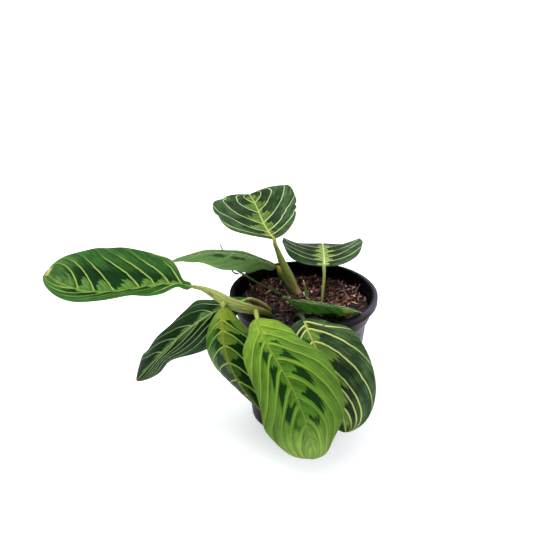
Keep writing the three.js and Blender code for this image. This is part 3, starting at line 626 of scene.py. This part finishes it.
# Stems, by points with a radius each, in millimetres. A rooted one runs on down into the soil, and one named
# after a leaf runs on under that blade. A ledge is a wrapped layer's edge: its turn, its height and the share
# of the length where it ends. A mark is its kind, turn and place, and their spreads. colourSpan is where the
# low colour turns to the high one.
commonStem = dict(rooted=True, flat=1, endRadius=1.5, ledges=[], marks=[], colourSpan=(0.2, 0.65),
                  dryTint="#8a5f42")
stems = {
    "petiole_top": dict(
        low="#6c7a34", high="#8a9a44", dryTint="#bb8a68",
        points=[(0, 9, 100, 2.3), (-6, 13.5, 109, 2.6), (-11.6, 15.5, 120, 3.2), (-16.8, 15, 131, 2.9),
                (-21.3, 12, 144, 2), (-23.4, 10, 151, 1.6)], ledges=[(0.36, 0.5, 0.75), (0.62, 0.4, 0.6)],
        marks=[("dry", 0.4, 0.28, 0.06, 0.2), ("dry", 0.5, 0.24, 0.06, 0.06)],
    ),
    "petiole_back": dict(
        low="#65653f", high="#8d9a4e",
        points=[(15.3, -2, 98, 1.2), (15.8, 3, 110, 1.2), (17, 9, 121, 1.2), (17, 13.2, 126.6, 1.5)],
    ),
    "sheath_left": dict(
        low="#4f6c26", high="#8a9840", dryTint="#74502e",
        points=[(-26, -23, 98, 2.8), (-29, -31, 108, 2.8), (-42, -41.5, 118, 4), (-57, -42, 123, 5.2),
                (-70, -36, 128, 4.2), (-80, -30, 130, 2.3)], endRadius=1.6, flat=0.8,
        ledges=[(0.6, 0.7, 0.8), (0.35, 0.5, 0.7)],
        marks=[("dry", 0.75, 0.5, 0.025, 0.3), ("dry", 0.6, 0.78, 0.05, 0.04)],
    ),
    "petiole_mid": dict(
        low="#22381a", high="#3f5a28",
        points=[(-6, 10, 98, 1.7), (-9, 10, 106, 1.7), (-14.5, 9.5, 116, 1.7), (-18.5, 10, 123, 1.9)],
        marks=[("pulvinus", 0.5, 0.95, 2, 0.12)],
    ),
    "petiole_low": dict(
        low="#5a5a2c", high="#8c8a4c",
        points=[(-25, -17.5, 98, 1.7), (-27, -19.5, 105, 1.7), (-31, -22, 111, 1.6), (-36.5, -25, 116, 1.5)],
        endRadius=1.4, ledges=[(0.6, 0.3, 0.8)],
    ),
    "petiole_yellow": dict(
        low="#98824a", high="#8a9a3c", points=[(-62, -40, 124, 2), (-63, -44.5, 124.5, 2.2)], endRadius=1.7,
        rooted=False,
    ),
    "petiole_front": dict(
        low="#a48c54", high="#93a23e", points=[(-38, -41, 116.5, 1.8), (-38, -48, 118.5, 1.9)], rooted=False,
    ),
    # Its low and high colours are darkened as painted shade, where it runs under leaf_right
    "petiole_right": dict(
        low="#1c2a12", high="#2c4420",
        points=[(-9, -31, 98, 1.8), (-8, -35, 106, 1.8), (-5, -43.5, 114, 1.8)], endRadius=1.6,
    ),
    "petiole_rim": dict(
        low="#3b5426", high="#55703a",
        points=[(-5, -9, 98, 1.5), (-8, -11, 106, 1.5), (-13, -16, 114, 1.4), (-16, -21.5, 118, 1.3)],
        endRadius=1.2,
    ),
    "shoot_spike": dict(
        low="#4a6626", high="#d0b090", points=[(5, 0, 98, 1.6), (3, 4.5, 107, 1.6), (0, 8, 119, 0.4)],
        ledges=[(0.55, 0.4, 0.95)], colourSpan=(0.85, 0.95),
    ),
    "flower_stalk": dict(
        low="#4c5e26", high="#c58a86",
        points=[(-13, 3, 100, 1), (-19, 7.5, 106, 1), (-35, 18.5, 109.7, 1), (-51, 30, 114.5, 1),
                (-60, 36, 119.5, 0.9), (-69, 39, 137, 0.5)], colourSpan=(0.88, 0.98),
    ),
}
stems = {node: {**commonStem, **stem} for node, stem in stems.items()}
buried = 12
tuck = dict(under=0.3, length=3, lengthUnder=0.9, radius=0.6)  # a petiole's end under its blade
stemSides, stemMottle = 36, 3.846


def smoothPath(points, step):
    points = np.array(points, float)
    ends = [2 * points[0] - points[1], *points, 2 * points[-1] - points[-2]]
    path = []
    for a, b, c, d in zip(ends, ends[1:], ends[2:], ends[3:]):
        before, here, after = [max(np.linalg.norm((q - p)[:3]) ** 0.5, 0.01)
                               for p, q in ((a, b), (b, c), (c, d))]
        leaving = here * ((b - a) / before - (c - a) / (before + here) + (c - b) / here)
        arriving = here * ((c - b) / here - (d - b) / (here + after) + (d - c) / after)
        count = max(2, round(np.linalg.norm((c - b)[:3]) / step))
        for t in np.arange(count) / count:
            path.append((2 * t ** 3 - 3 * t * t + 1) * b + (t ** 3 - 2 * t * t + t) * leaving
                        + (3 * t * t - 2 * t ** 3) * c + (t ** 3 - t * t) * arriving)
    return np.array(path + [points[-1]])


def makeStem(node, name, stem, material):
    points = list(stem["points"])
    if stem["rooted"]:
        x, y, z, radius = points[0]
        points.insert(0, (x, y, z - buried, radius))
    blade = blades.get("leaf_" + node.split("_")[1])
    if blade:
        start, way = midribAt(blade, np.array([0.0]))[0], wayAt(blade, np.array([0.0]))[0]
        side = np.array(blade["right"][0], float)
        upwards = unit(np.cross(unit(side - side @ way * way), way))
        points.append((*(start - way * seatGap - upwards * tuck["under"]), stem["endRadius"]))
        points.append((*(start + way * tuck["length"] - upwards * tuck["lengthUnder"]), tuck["radius"]))
    path = smoothPath(points, 1)
    centres, radii = path[:, :3], path[:, 3]
    ways = unit(np.gradient(centres, axis=0))
    lengths = np.concatenate([[0], np.cumsum(np.linalg.norm(np.diff(centres, axis=0), axis=1))])
    share = lengths / lengths[-1]
    turn = np.arange(stemSides) / stemSides
    side = np.array([0.0, 1, 0])
    rings = []
    edgeOf = np.zeros((len(path), stemSides))
    for k, (centre, way, radius) in enumerate(zip(centres, ways, radii)):
        side = unit(side - side @ way * way)
        other = np.cross(way, side)
        bulge = np.zeros(stemSides)
        for place, height, end in stem["ledges"]:
            wrapped = (turn - place) % 1
            fade = min(1, max(0, (end - share[k]) / 0.15)) * min(1, radius / 2)
            bulge += fade * height * wrapped ** 2
            edgeOf[k] = np.maximum(edgeOf[k], fade * np.exp(-((1 - wrapped) / 0.045) ** 2))
        across = (radius + bulge) * stem["flat"] * np.cos(2 * math.pi * turn)
        outward = (radius + bulge) * np.sin(2 * math.pi * turn)
        rings.append(centre + across[:, None] * side + outward[:, None] * other)
    points = np.concatenate(rings + [centres[:1], centres[-1:]])
    index, after, quads = ringFaces(len(path), stemSides)
    foot, tip = len(points) - 2, len(points) - 1
    faces = quads.tolist() + [[foot, b, a] for a, b in zip(index[0], after[0])]
    faces += [[tip, a, b] for a, b in zip(index[-1], after[-1])]

    wear = {"dry": edgeOf, "pulvinus": np.zeros_like(edgeOf)}
    for kind, around, place, spreadTurn, spreadShare in stem["marks"]:
        away = np.abs((turn - around + 0.5) % 1 - 0.5)
        mark = np.exp(-(away / spreadTurn) ** 2) * np.exp(-((share - place) / spreadShare) ** 2)[:, None]
        wear[kind] = np.maximum(wear[kind], mark)
    ring, column = np.divmod(np.arange(len(path) * stemSides), stemSides)
    places = np.concatenate([np.stack([turn[column], lengths[ring], share[ring]], -1),
                             [[0, 0, 0], [0, lengths[-1], 1]]])
    wears = np.stack([wear["dry"].ravel(), wear["pulvinus"].ravel(), np.zeros(len(ring))], -1)
    wears = np.concatenate([wears, np.zeros((2, 3))])
    corners = np.concatenate([np.array(face) for face in faces])
    atCorners = places[corners]
    ofQuads = atCorners[:quads.size].reshape(-1, 4, 3)
    closing = ofQuads[:, 0, 0] > 1 - 1.5 / stemSides  # the last quads round, where the turn goes on to 1
    ofQuads[closing, 1:3, 0] = 1
    return newPiece(name, points, faces, [material], [node], None,
                    {"stemPlace": atCorners, "wear": wears[corners]}, crease=60)


# Living stem, grown ribbed: satin, with fine ridges along it and dry thin edges where layers wrap
def stemMaterial(name, stem):
    material, add, objectPlace = newMaterial(f"stem skin grown ribbed, {name}")
    place, wear = readFields(add, "stemPlace", "wear")
    angle = add("Math", times, (place, "X"), 2 * math.pi)
    circle = add("CombineXYZ", {}, add("Math", {"operation": "COSINE"}, angle),
                 add("Math", {"operation": "SINE"}, angle), add("Math", times, (place, "Y"), 0.03))
    ridges = add("TexNoise", {}, Vector=circle, Scale=6, Detail=3, Roughness=0.6)  # about 1 mm apart
    mottle = add("TexNoise", {}, Vector=objectPlace, Scale=scaleOf(stemMottle), Detail=3)
    height = add("MapRange", smooth, (place, "Z"), *stem["colourSpan"])
    colour = add("Mix", blended, height, colourOf(stem["low"]), colourOf(stem["high"]))
    shade = add("Math", plus, add("MapRange", {}, ridges, 0.3, 0.7, 0.6, 1.25),
                add("MapRange", {}, mottle, 0.3, 0.7, -0.12, 0.12))
    colour = add("HueSaturation", {}, Value=shade, Color=colour)
    marks = (("Y", "#b59a35", 0.9), ("X", stem["dryTint"], 0.95))  # the swollen joint, and what is dry
    colour = withMarks(add, colour, wear, offsetBy(add, mottle, 0.6), (0.3, 0.75), marks)
    finishSurface(add, colour, 0.48, ridges, 0.4, 0.7, IOR=1.45)
    return material


for node, stem in stems.items():
    kind, where = node.split("_")
    name = kind + where.capitalize()
    makeStem(node, name, stem, stemMaterial(name, stem))
print("stage: stems")


# Pot, in millimetres. The spans of the painted lip highlight and the painted side reflection say from where,
# and up to where in full, across to the right
pot = dict(
    height=112, rim=60, lipWidth=4.5, lipHeight=6.5, collar=54.8, collarBottom=97,
    shoulder=51.5, shoulderBottom=89, foot=42, wall=1.5, floor=2, sides=192, ribs=48,
    ribHeight=0.1, drains=8, drainRadius=3.5, drainCircle=31, drainSpan=(-2, 6), drainSides=24,
    colour="#07060b", cloudTint="#0f0f15", scuffTint="#4a4a52", lipHighlightTint="#5e5868",
    reflectionTint="#7a7076", peel=1.111, cloud=16.67, scuffs=(1.111, 1.111, 25), paintedLipHighlight=(30, 52),
    paintedReflection=(28, 53),
)
lipBottom = pot["height"] - pot["lipHeight"]
innerRim = pot["rim"] - pot["lipWidth"]

# Black polypropylene, thermoformed: semi-gloss, with a faint orange-peel and light scuffs that break its
# shine. Its lip top has a painted highlight, strongest on one side, and on that side its outside below the
# lip has a painted reflection
potMaterial, add, objectPlace = newMaterial("polypropylene thermoformed, black")
place = add("SeparateXYZ", {}, objectPlace)
flatPlace = add("CombineXYZ", {}, (place, "X"), (place, "Y"))
fromAxis = (add("VectorMath", {"operation": "LENGTH"}, flatPlace), "Value")
peel = add("TexNoise", {}, Vector=objectPlace, Scale=scaleOf(pot["peel"]), Detail=2)
cloud = add("TexNoise", {}, Vector=objectPlace, Scale=scaleOf(pot["cloud"]), Detail=4)
stretched = add("Mapping", {}, Vector=objectPlace, Scale=[scaleOf(size) for size in pot["scuffs"]])
scuffed = add("MapRange", smooth, add("TexNoise", {}, Vector=stretched, Scale=1, Detail=2), 0.6, 0.75)
rough = add("Math", plus, add("MapRange", {}, cloud, 0.3, 0.7, 0.34, 0.48), add("Math", times, scuffed, 0.15))

# Painted highlight on the lip top, faint all round and full on the right
lipHighlight = add("MapRange", smooth, fromAxis, *metres(innerRim, pot["rim"] - 1), 0, 0.6)
# Painted reflection on the outside below the lip, on the right side
outside = add("MapRange", smooth, fromAxis, *metres(pot["collar"] - 0.3, pot["collar"] - 0.1))
below = add("MapRange", smooth, (place, "Z"), *metres(pot["collarBottom"] + 0.5, pot["collarBottom"] - 0.5))
paintedReflection = add("Math", {"operation": "MAXIMUM"}, outside, below)
lipHighlightSpans = {"Z": metres(pot["height"] - 4, pot["height"]), "X": metres(*pot["paintedLipHighlight"]) + [0.2, 1]}
reflectionSpans = {"Z": metres(lipBottom, lipBottom - 1), "X": metres(*pot["paintedReflection"]) + [0, 0.55]}
for axis in "ZX":
    lipHighlight = keptBy(add, lipHighlight, (place, axis), *lipHighlightSpans[axis])
    paintedReflection = keptBy(add, paintedReflection, (place, axis), *reflectionSpans[axis])
colour = colourOf(pot["colour"])
clouded, scratched = add("MapRange", {}, cloud, 0.35, 0.7, 0, 0.5), add("Math", times, scuffed, 0.25)
for tint, amount in dict(cloudTint=clouded, scuffTint=scratched, lipHighlightTint=lipHighlight, reflectionTint=paintedReflection).items():
    colour = add("Mix", blended, amount, colour, colourOf(pot[tint]))
finishSurface(add, colour, rough, peel, 0.2, 0.25, IOR=1.49, Specular_IOR_Level=0.05)


# A profile with its corners rounded, from each corner's radius from the axis, height and fillet
def filleted(corners):
    profile = []
    for k, (radius, height, fillet) in enumerate(corners):
        here = np.array([radius, height], float)
        if not fillet or k in (0, len(corners) - 1):
            profile.append(here)
            continue
        before = unit(np.array(corners[k - 1][:2], float) - here)
        after = unit(np.array(corners[k + 1][:2], float) - here)
        for t in np.linspace(0, 1, 6):
            profile.append(here + fillet * (before * (1 - t) ** 2 + after * t * t))
    return np.array(profile)


# Turned body, up the outside and down the inside, which has faint upright ribs
def makePot():
    top, sides = pot["height"], pot["sides"]
    outside = [
        (0.01, 0, 0), (pot["foot"] - 3, 0, 0.3), (pot["foot"], 0, 1),
        (pot["shoulder"], pot["shoulderBottom"], 0.6), (pot["collar"], pot["collarBottom"] - 1, 0.8),
        (pot["collar"], lipBottom, 0.4), (pot["rim"], lipBottom + 0.3, 0.8), (pot["rim"], top, 1.3),
        (innerRim, top, 1.2), (pot["collar"] - pot["wall"], pot["collarBottom"], 0.8),
    ]
    inside = [
        (pot["shoulder"] - pot["wall"], pot["shoulderBottom"], 0.6),
        (pot["foot"] - pot["wall"], pot["floor"], 1.2), (0.01, pot["floor"], 0),
    ]
    insideStart = len(filleted(outside)) - 6
    profile = filleted(outside + inside)
    turns = 2 * math.pi * np.arange(sides) / sides
    radius, heights = [np.repeat(profile[:, k:k + 1], sides, axis=1) for k in (0, 1)]
    ribbed = (np.arange(len(profile)) > insideStart) & (profile[:, 1] > pot["floor"] + 2)
    radius[ribbed] += pot["ribHeight"] * np.cos(pot["ribs"] * turns)
    points = np.stack([radius * np.cos(turns), radius * np.sin(turns), heights], -1).reshape(-1, 3)
    index, _, quads = ringFaces(len(profile), sides)
    faces = quads.tolist() + [index[0][::-1].tolist(), index[-1].tolist()]
    return newPiece("nurseryPot", points, faces, [potMaterial], ["pot"], crease=35)


potPiece = makePot()
cutterPoints, cutterFaces = [], []
drainSides = pot["drainSides"]
_, _, drainWall = ringFaces(2, drainSides)
for k in range(pot["drains"]):
    turn = 2 * math.pi * k / pot["drains"]
    centre = pot["drainCircle"] * np.array([math.cos(turn), math.sin(turn)])
    low = len(cutterPoints) + np.arange(drainSides)
    for z in pot["drainSpan"]:
        for angle in 2 * math.pi * np.arange(drainSides) / drainSides:
            x, y = centre + pot["drainRadius"] * np.array([math.cos(angle), math.sin(angle)])
            cutterPoints.append((x, y, z))
    cutterFaces += [low[::-1], low + drainSides, *(drainWall + low[0])]
cutter = newObject("drainCutter", cutterPoints, cutterFaces)
cut = potPiece.modifiers.new("drains", "BOOLEAN")
cut.object = cutter
cut.solver = "EXACT"
bpy.context.view_layer.update()
drained = bpy.data.meshes.new_from_object(potPiece.evaluated_get(bpy.context.evaluated_depsgraph_get()))
potPiece.modifiers.clear()
potPiece.data = drained
bpy.data.objects.remove(cutter)
print("stage: pot")


# Soil, in millimetres: a low mound of packed pith under loose coir chips and fibres. A bump is its size, its
# share of relief and its layer of noise. In front of a ragged span the chips carry painted shade, as dark as
# its strength says
soil = dict(
    level=104, radius=52.8, drop=4, dropFrom=38, bottom=90, bottomRadius=49.5, relief=1.8,
    bumps=((7, 1, 0), (2.5, 0.6, 3)), rings=46, sides=128, crumb=2.222, seed=11,
    frontShade=0.3, frontShadeSpan=(-22, -4), frontShadePatch=16.67, frontShadeDrift=20, grain=0.667,
)
chipKinds = [
    dict(count=2200, reach=50.5, size=((1.5, 7), (0.7, 1.8), (0.4, 1.1)), tilt=34, lifted=1.8),
    dict(count=420, reach=48, size=((5, 11), (1.2, 2.8), (0.6, 1.6)), tilt=26, lifted=2.4),
]
fibre = dict(count=1500, reach=48, sunk=0.3, sag=0.35, steps=5, sides=3)


def soilHeight(x, y):
    t = np.clip((np.hypot(x, y) - soil["dropFrom"]) / (soil["radius"] - soil["dropFrom"]), 0, 1)
    bumps = [sum(part * noise.noise(Vector((a / size, b / size, layer)))
                 for size, part, layer in soil["bumps"]) for a, b in zip(np.ravel(x), np.ravel(y))]
    return soil["level"] - soil["drop"] * t ** 2.2 + soil["relief"] * np.reshape(bumps, np.shape(x))


# Coir pith and bark chips, dried and milled: matt, each chip its own brown, pale where it is torn, with
# painted shade towards the front
coirMaterial, add, objectPlace = newMaterial("coir chips milled, dry")
island = (add("NewGeometry", {}), "Random Per Island")
browns = {0: "#050303", 0.5: "#120807", 0.66: "#4a221c", 0.8: "#8a4c3e", 0.92: "#b87c6c", 1: "#e8c4b4"}
colour = add("ValToRGB", {"stops": [(p, colourOf(c)) for p, c in browns.items()]}, island)
grain = add("TexNoise", {}, Vector=objectPlace, Scale=scaleOf(soil["grain"]), Detail=2)
colour = add("HueSaturation", {}, Value=add("MapRange", {}, grain, 0.3, 0.7, 0.6, 1.3), Color=colour)
# Painted shade over the chips towards the front, with a ragged edge
frontShadeEdge = add("TexNoise", {}, Vector=objectPlace, Scale=scaleOf(soil["frontShadePatch"]), Detail=2)
backwards = (add("SeparateXYZ", {}, objectPlace), "Y")
backwards = add("Math", plus, backwards, offsetBy(add, frontShadeEdge, soil["frontShadeDrift"] * mm))
frontShadeValue = add("MapRange", smooth, backwards, *metres(*soil["frontShadeSpan"]), soil["frontShade"], 1)
colour = add("HueSaturation", {}, Value=frontShadeValue, Color=colour)
finishSurface(add, colour, 0.85, grain, 0.3, 0.8, IOR=1.5)

# Coir pith packed under the chips: painted nearly black as shade, because little light gets between them
pithMaterial, add, objectPlace = newMaterial("coir pith packed, painted shade")
crumb = add("TexNoise", {}, Vector=objectPlace, Scale=scaleOf(soil["crumb"]), Detail=5)
colour = add("ValToRGB", {"stops": [(0.35, colourOf("#050303")), (0.75, colourOf("#21120e"))]}, crumb)
finishSurface(add, colour, 0.95, crumb, 1, 1, IOR=1.5)

turns = 2 * math.pi * np.arange(soil["sides"]) / soil["sides"]
radii = soil["radius"] * np.linspace(0, 1, soil["rings"] + 1)[1:, None]
x, y = radii * np.cos(turns), radii * np.sin(turns)
mound = np.stack([x, y, soilHeight(x, y)], -1).reshape(-1, 3)
lowRadius, low = soil["bottomRadius"], np.full(soil["sides"], soil["bottom"])
bottomRing = np.stack([lowRadius * np.cos(turns), lowRadius * np.sin(turns), low], -1)
points = np.concatenate([mound, bottomRing, [(0, 0, soilHeight(0.0, 0.0)), (0, 0, soil["bottom"])]])
index, after, quads = ringFaces(soil["rings"] + 1, soil["sides"], faceInwards=True)
centre = len(points) - 2
faces = quads.tolist() + [[centre, a, b] for a, b in zip(index[0], after[0])]
faces += [[centre + 1, b, a] for a, b in zip(index[-1], after[-1])]
newPiece("coirPith", points, faces, [pithMaterial], ["soil"], crease=0)

draw = np.random.default_rng(soil["seed"])
cube = np.array([(x, y, z) for z in (-0.5, 0.5) for y in (-0.5, 0.5) for x in (-0.5, 0.5)])
cubeFaces = np.array([(0, 2, 3, 1), (4, 5, 7, 6), (0, 1, 5, 4), (2, 6, 7, 3), (0, 4, 6, 2), (1, 3, 7, 5)])


def scattered(count, reach):
    spread = reach * np.sqrt(draw.random(count))
    turn = 2 * math.pi * draw.random(count)
    x, y = spread * np.cos(turn), spread * np.sin(turn)
    return x, y, soilHeight(x, y)


# Broken blocks, each tapered, rolled, leaned and turned its own way
def chipPoints(count, reach, size, tilt, lifted):
    x, y, z = scattered(count, reach)
    sizes = np.stack([low + (high - low) * draw.random(count) ** 2 for low, high in size], -1)
    shape = cube[None] * (1 + 0.5 * (draw.random((count, 8, 3)) - 0.5)) * sizes[:, None]
    shape[:, :, 0] *= 1 - 0.5 * draw.random((count, 1)) * (shape[:, :, 1] > 0)
    lean = math.radians(tilt) * draw.normal(size=count)
    yaw, roll = 2 * math.pi * draw.random(count), math.pi * draw.random(count)
    for first, second, angle in ((1, 2, roll), (0, 2, lean), (0, 1, yaw)):
        a, b = shape[..., first], shape[..., second]
        cosine, sine = np.cos(angle)[:, None], np.sin(angle)[:, None]
        shape[..., first], shape[..., second] = a * cosine - b * sine, a * sine + b * cosine
    return shape + np.stack([x, y, z + lifted * (draw.random(count) - 0.3)], -1)[:, None]


chips = np.concatenate([chipPoints(**kind) for kind in chipKinds])
faces = (cubeFaces[None] + 8 * np.arange(len(chips))[:, None, None]).reshape(-1, 4)
newPiece("coirChips", chips.reshape(-1, 3), faces, [coirMaterial], (), crease=30)

# Fibres: thin three-sided tubes that bend aside and sag to their tips
count = fibre["count"]
x, y, z = scattered(count, fibre["reach"])
length, thick = 3 + 9 * draw.random(count) ** 2, 0.12 + 0.16 * draw.random(count)
yaw, climb = 2 * math.pi * draw.random(count), 0.5 * draw.normal(size=count)
heading = np.stack([np.cos(yaw) * np.cos(climb), np.sin(yaw) * np.cos(climb), np.abs(np.sin(climb))], -1)
sideways = np.stack([-np.sin(yaw), np.cos(yaw), np.zeros(count)], -1)
upright = np.cross(heading, sideways)
bend = draw.normal(size=(count, 1)) * 0.25 * length[:, None]
rings = []
for t in np.linspace(0, 1, fibre["steps"] + 1):
    centre = np.stack([x, y, z - fibre["sunk"]], -1) + heading * (length * t)[:, None]
    centre += sideways * bend * t * t
    centre[:, 2] -= fibre["sag"] * length * t * t * (np.abs(climb) < 0.5)
    radius = (thick * (1 - 0.6 * t))[:, None]
    for angle in 2 * math.pi * np.arange(fibre["sides"]) / fibre["sides"]:
        rings.append(centre + radius * (math.cos(angle) * sideways + math.sin(angle) * upright))
index, _, tube = ringFaces(fibre["steps"] + 1, fibre["sides"], faceInwards=True)
offsets = index.size * np.arange(count)
faces = (tube[None] + offsets[:, None, None]).reshape(-1, 4).tolist()
faces += [index[0] + k for k in offsets] + [index[-1][::-1] + k for k in offsets]
newPiece("coirFibres", np.stack(rings, 1).reshape(-1, 3), faces, [coirMaterial], (), crease=0)
print("stage: soil")


# Bract, in millimetres: a thin strip, cupped across and curled along, that hangs from the flower stalk
bract = dict(
    top=(-59.3, 35.4, 117), length=9, width=3, thickness=0.35, bend=1.7, cup=0.5, steps=24,
    acrossSteps=8, fleck=1.429, low="#3c2218", high="#8a5b41",
)

# Dead bract, dried on the plant: papery and matt, flecked dark and light brown
bractMaterial, add, objectPlace = newMaterial("bract dried papery")
fleck = add("TexNoise", {}, Vector=objectPlace, Scale=scaleOf(bract["fleck"]), Detail=3)
colour = add("ValToRGB", {"stops": [(0.3, colourOf(bract["low"])), (0.7, colourOf(bract["high"]))]}, fleck)
finishSurface(add, colour, 0.75, fleck, 0.3, 0.6, IOR=1.45)

steps, acrossSteps = bract["steps"] + 1, bract["acrossSteps"] + 1
share, sideways = np.meshgrid(np.linspace(0, 1, steps), np.linspace(-1, 1, acrossSteps), indexing="ij")
turn, radius = share * bract["bend"], bract["length"] / bract["bend"]
half = (bract["width"] / 2) * (0.3 + 1.4 * share * (1.3 - share))
normal = np.stack([-np.cos(turn), np.zeros_like(turn), -np.sin(turn)], -1)
strip = np.stack([radius * (1 - np.cos(turn)), half * sideways, -radius * np.sin(turn)], -1) + bract["top"]
strip += normal * (bract["cup"] * sideways ** 2)[..., None]
points = [(strip + normal * side * bract["thickness"] / 2).reshape(-1, 3) for side in (1, -1)]
faces = sheetFaces(steps, acrossSteps)[-1]
newPiece("driedBract", np.concatenate(points), faces, [bractMaterial], ["flower_bract"])
print("stage: bract")
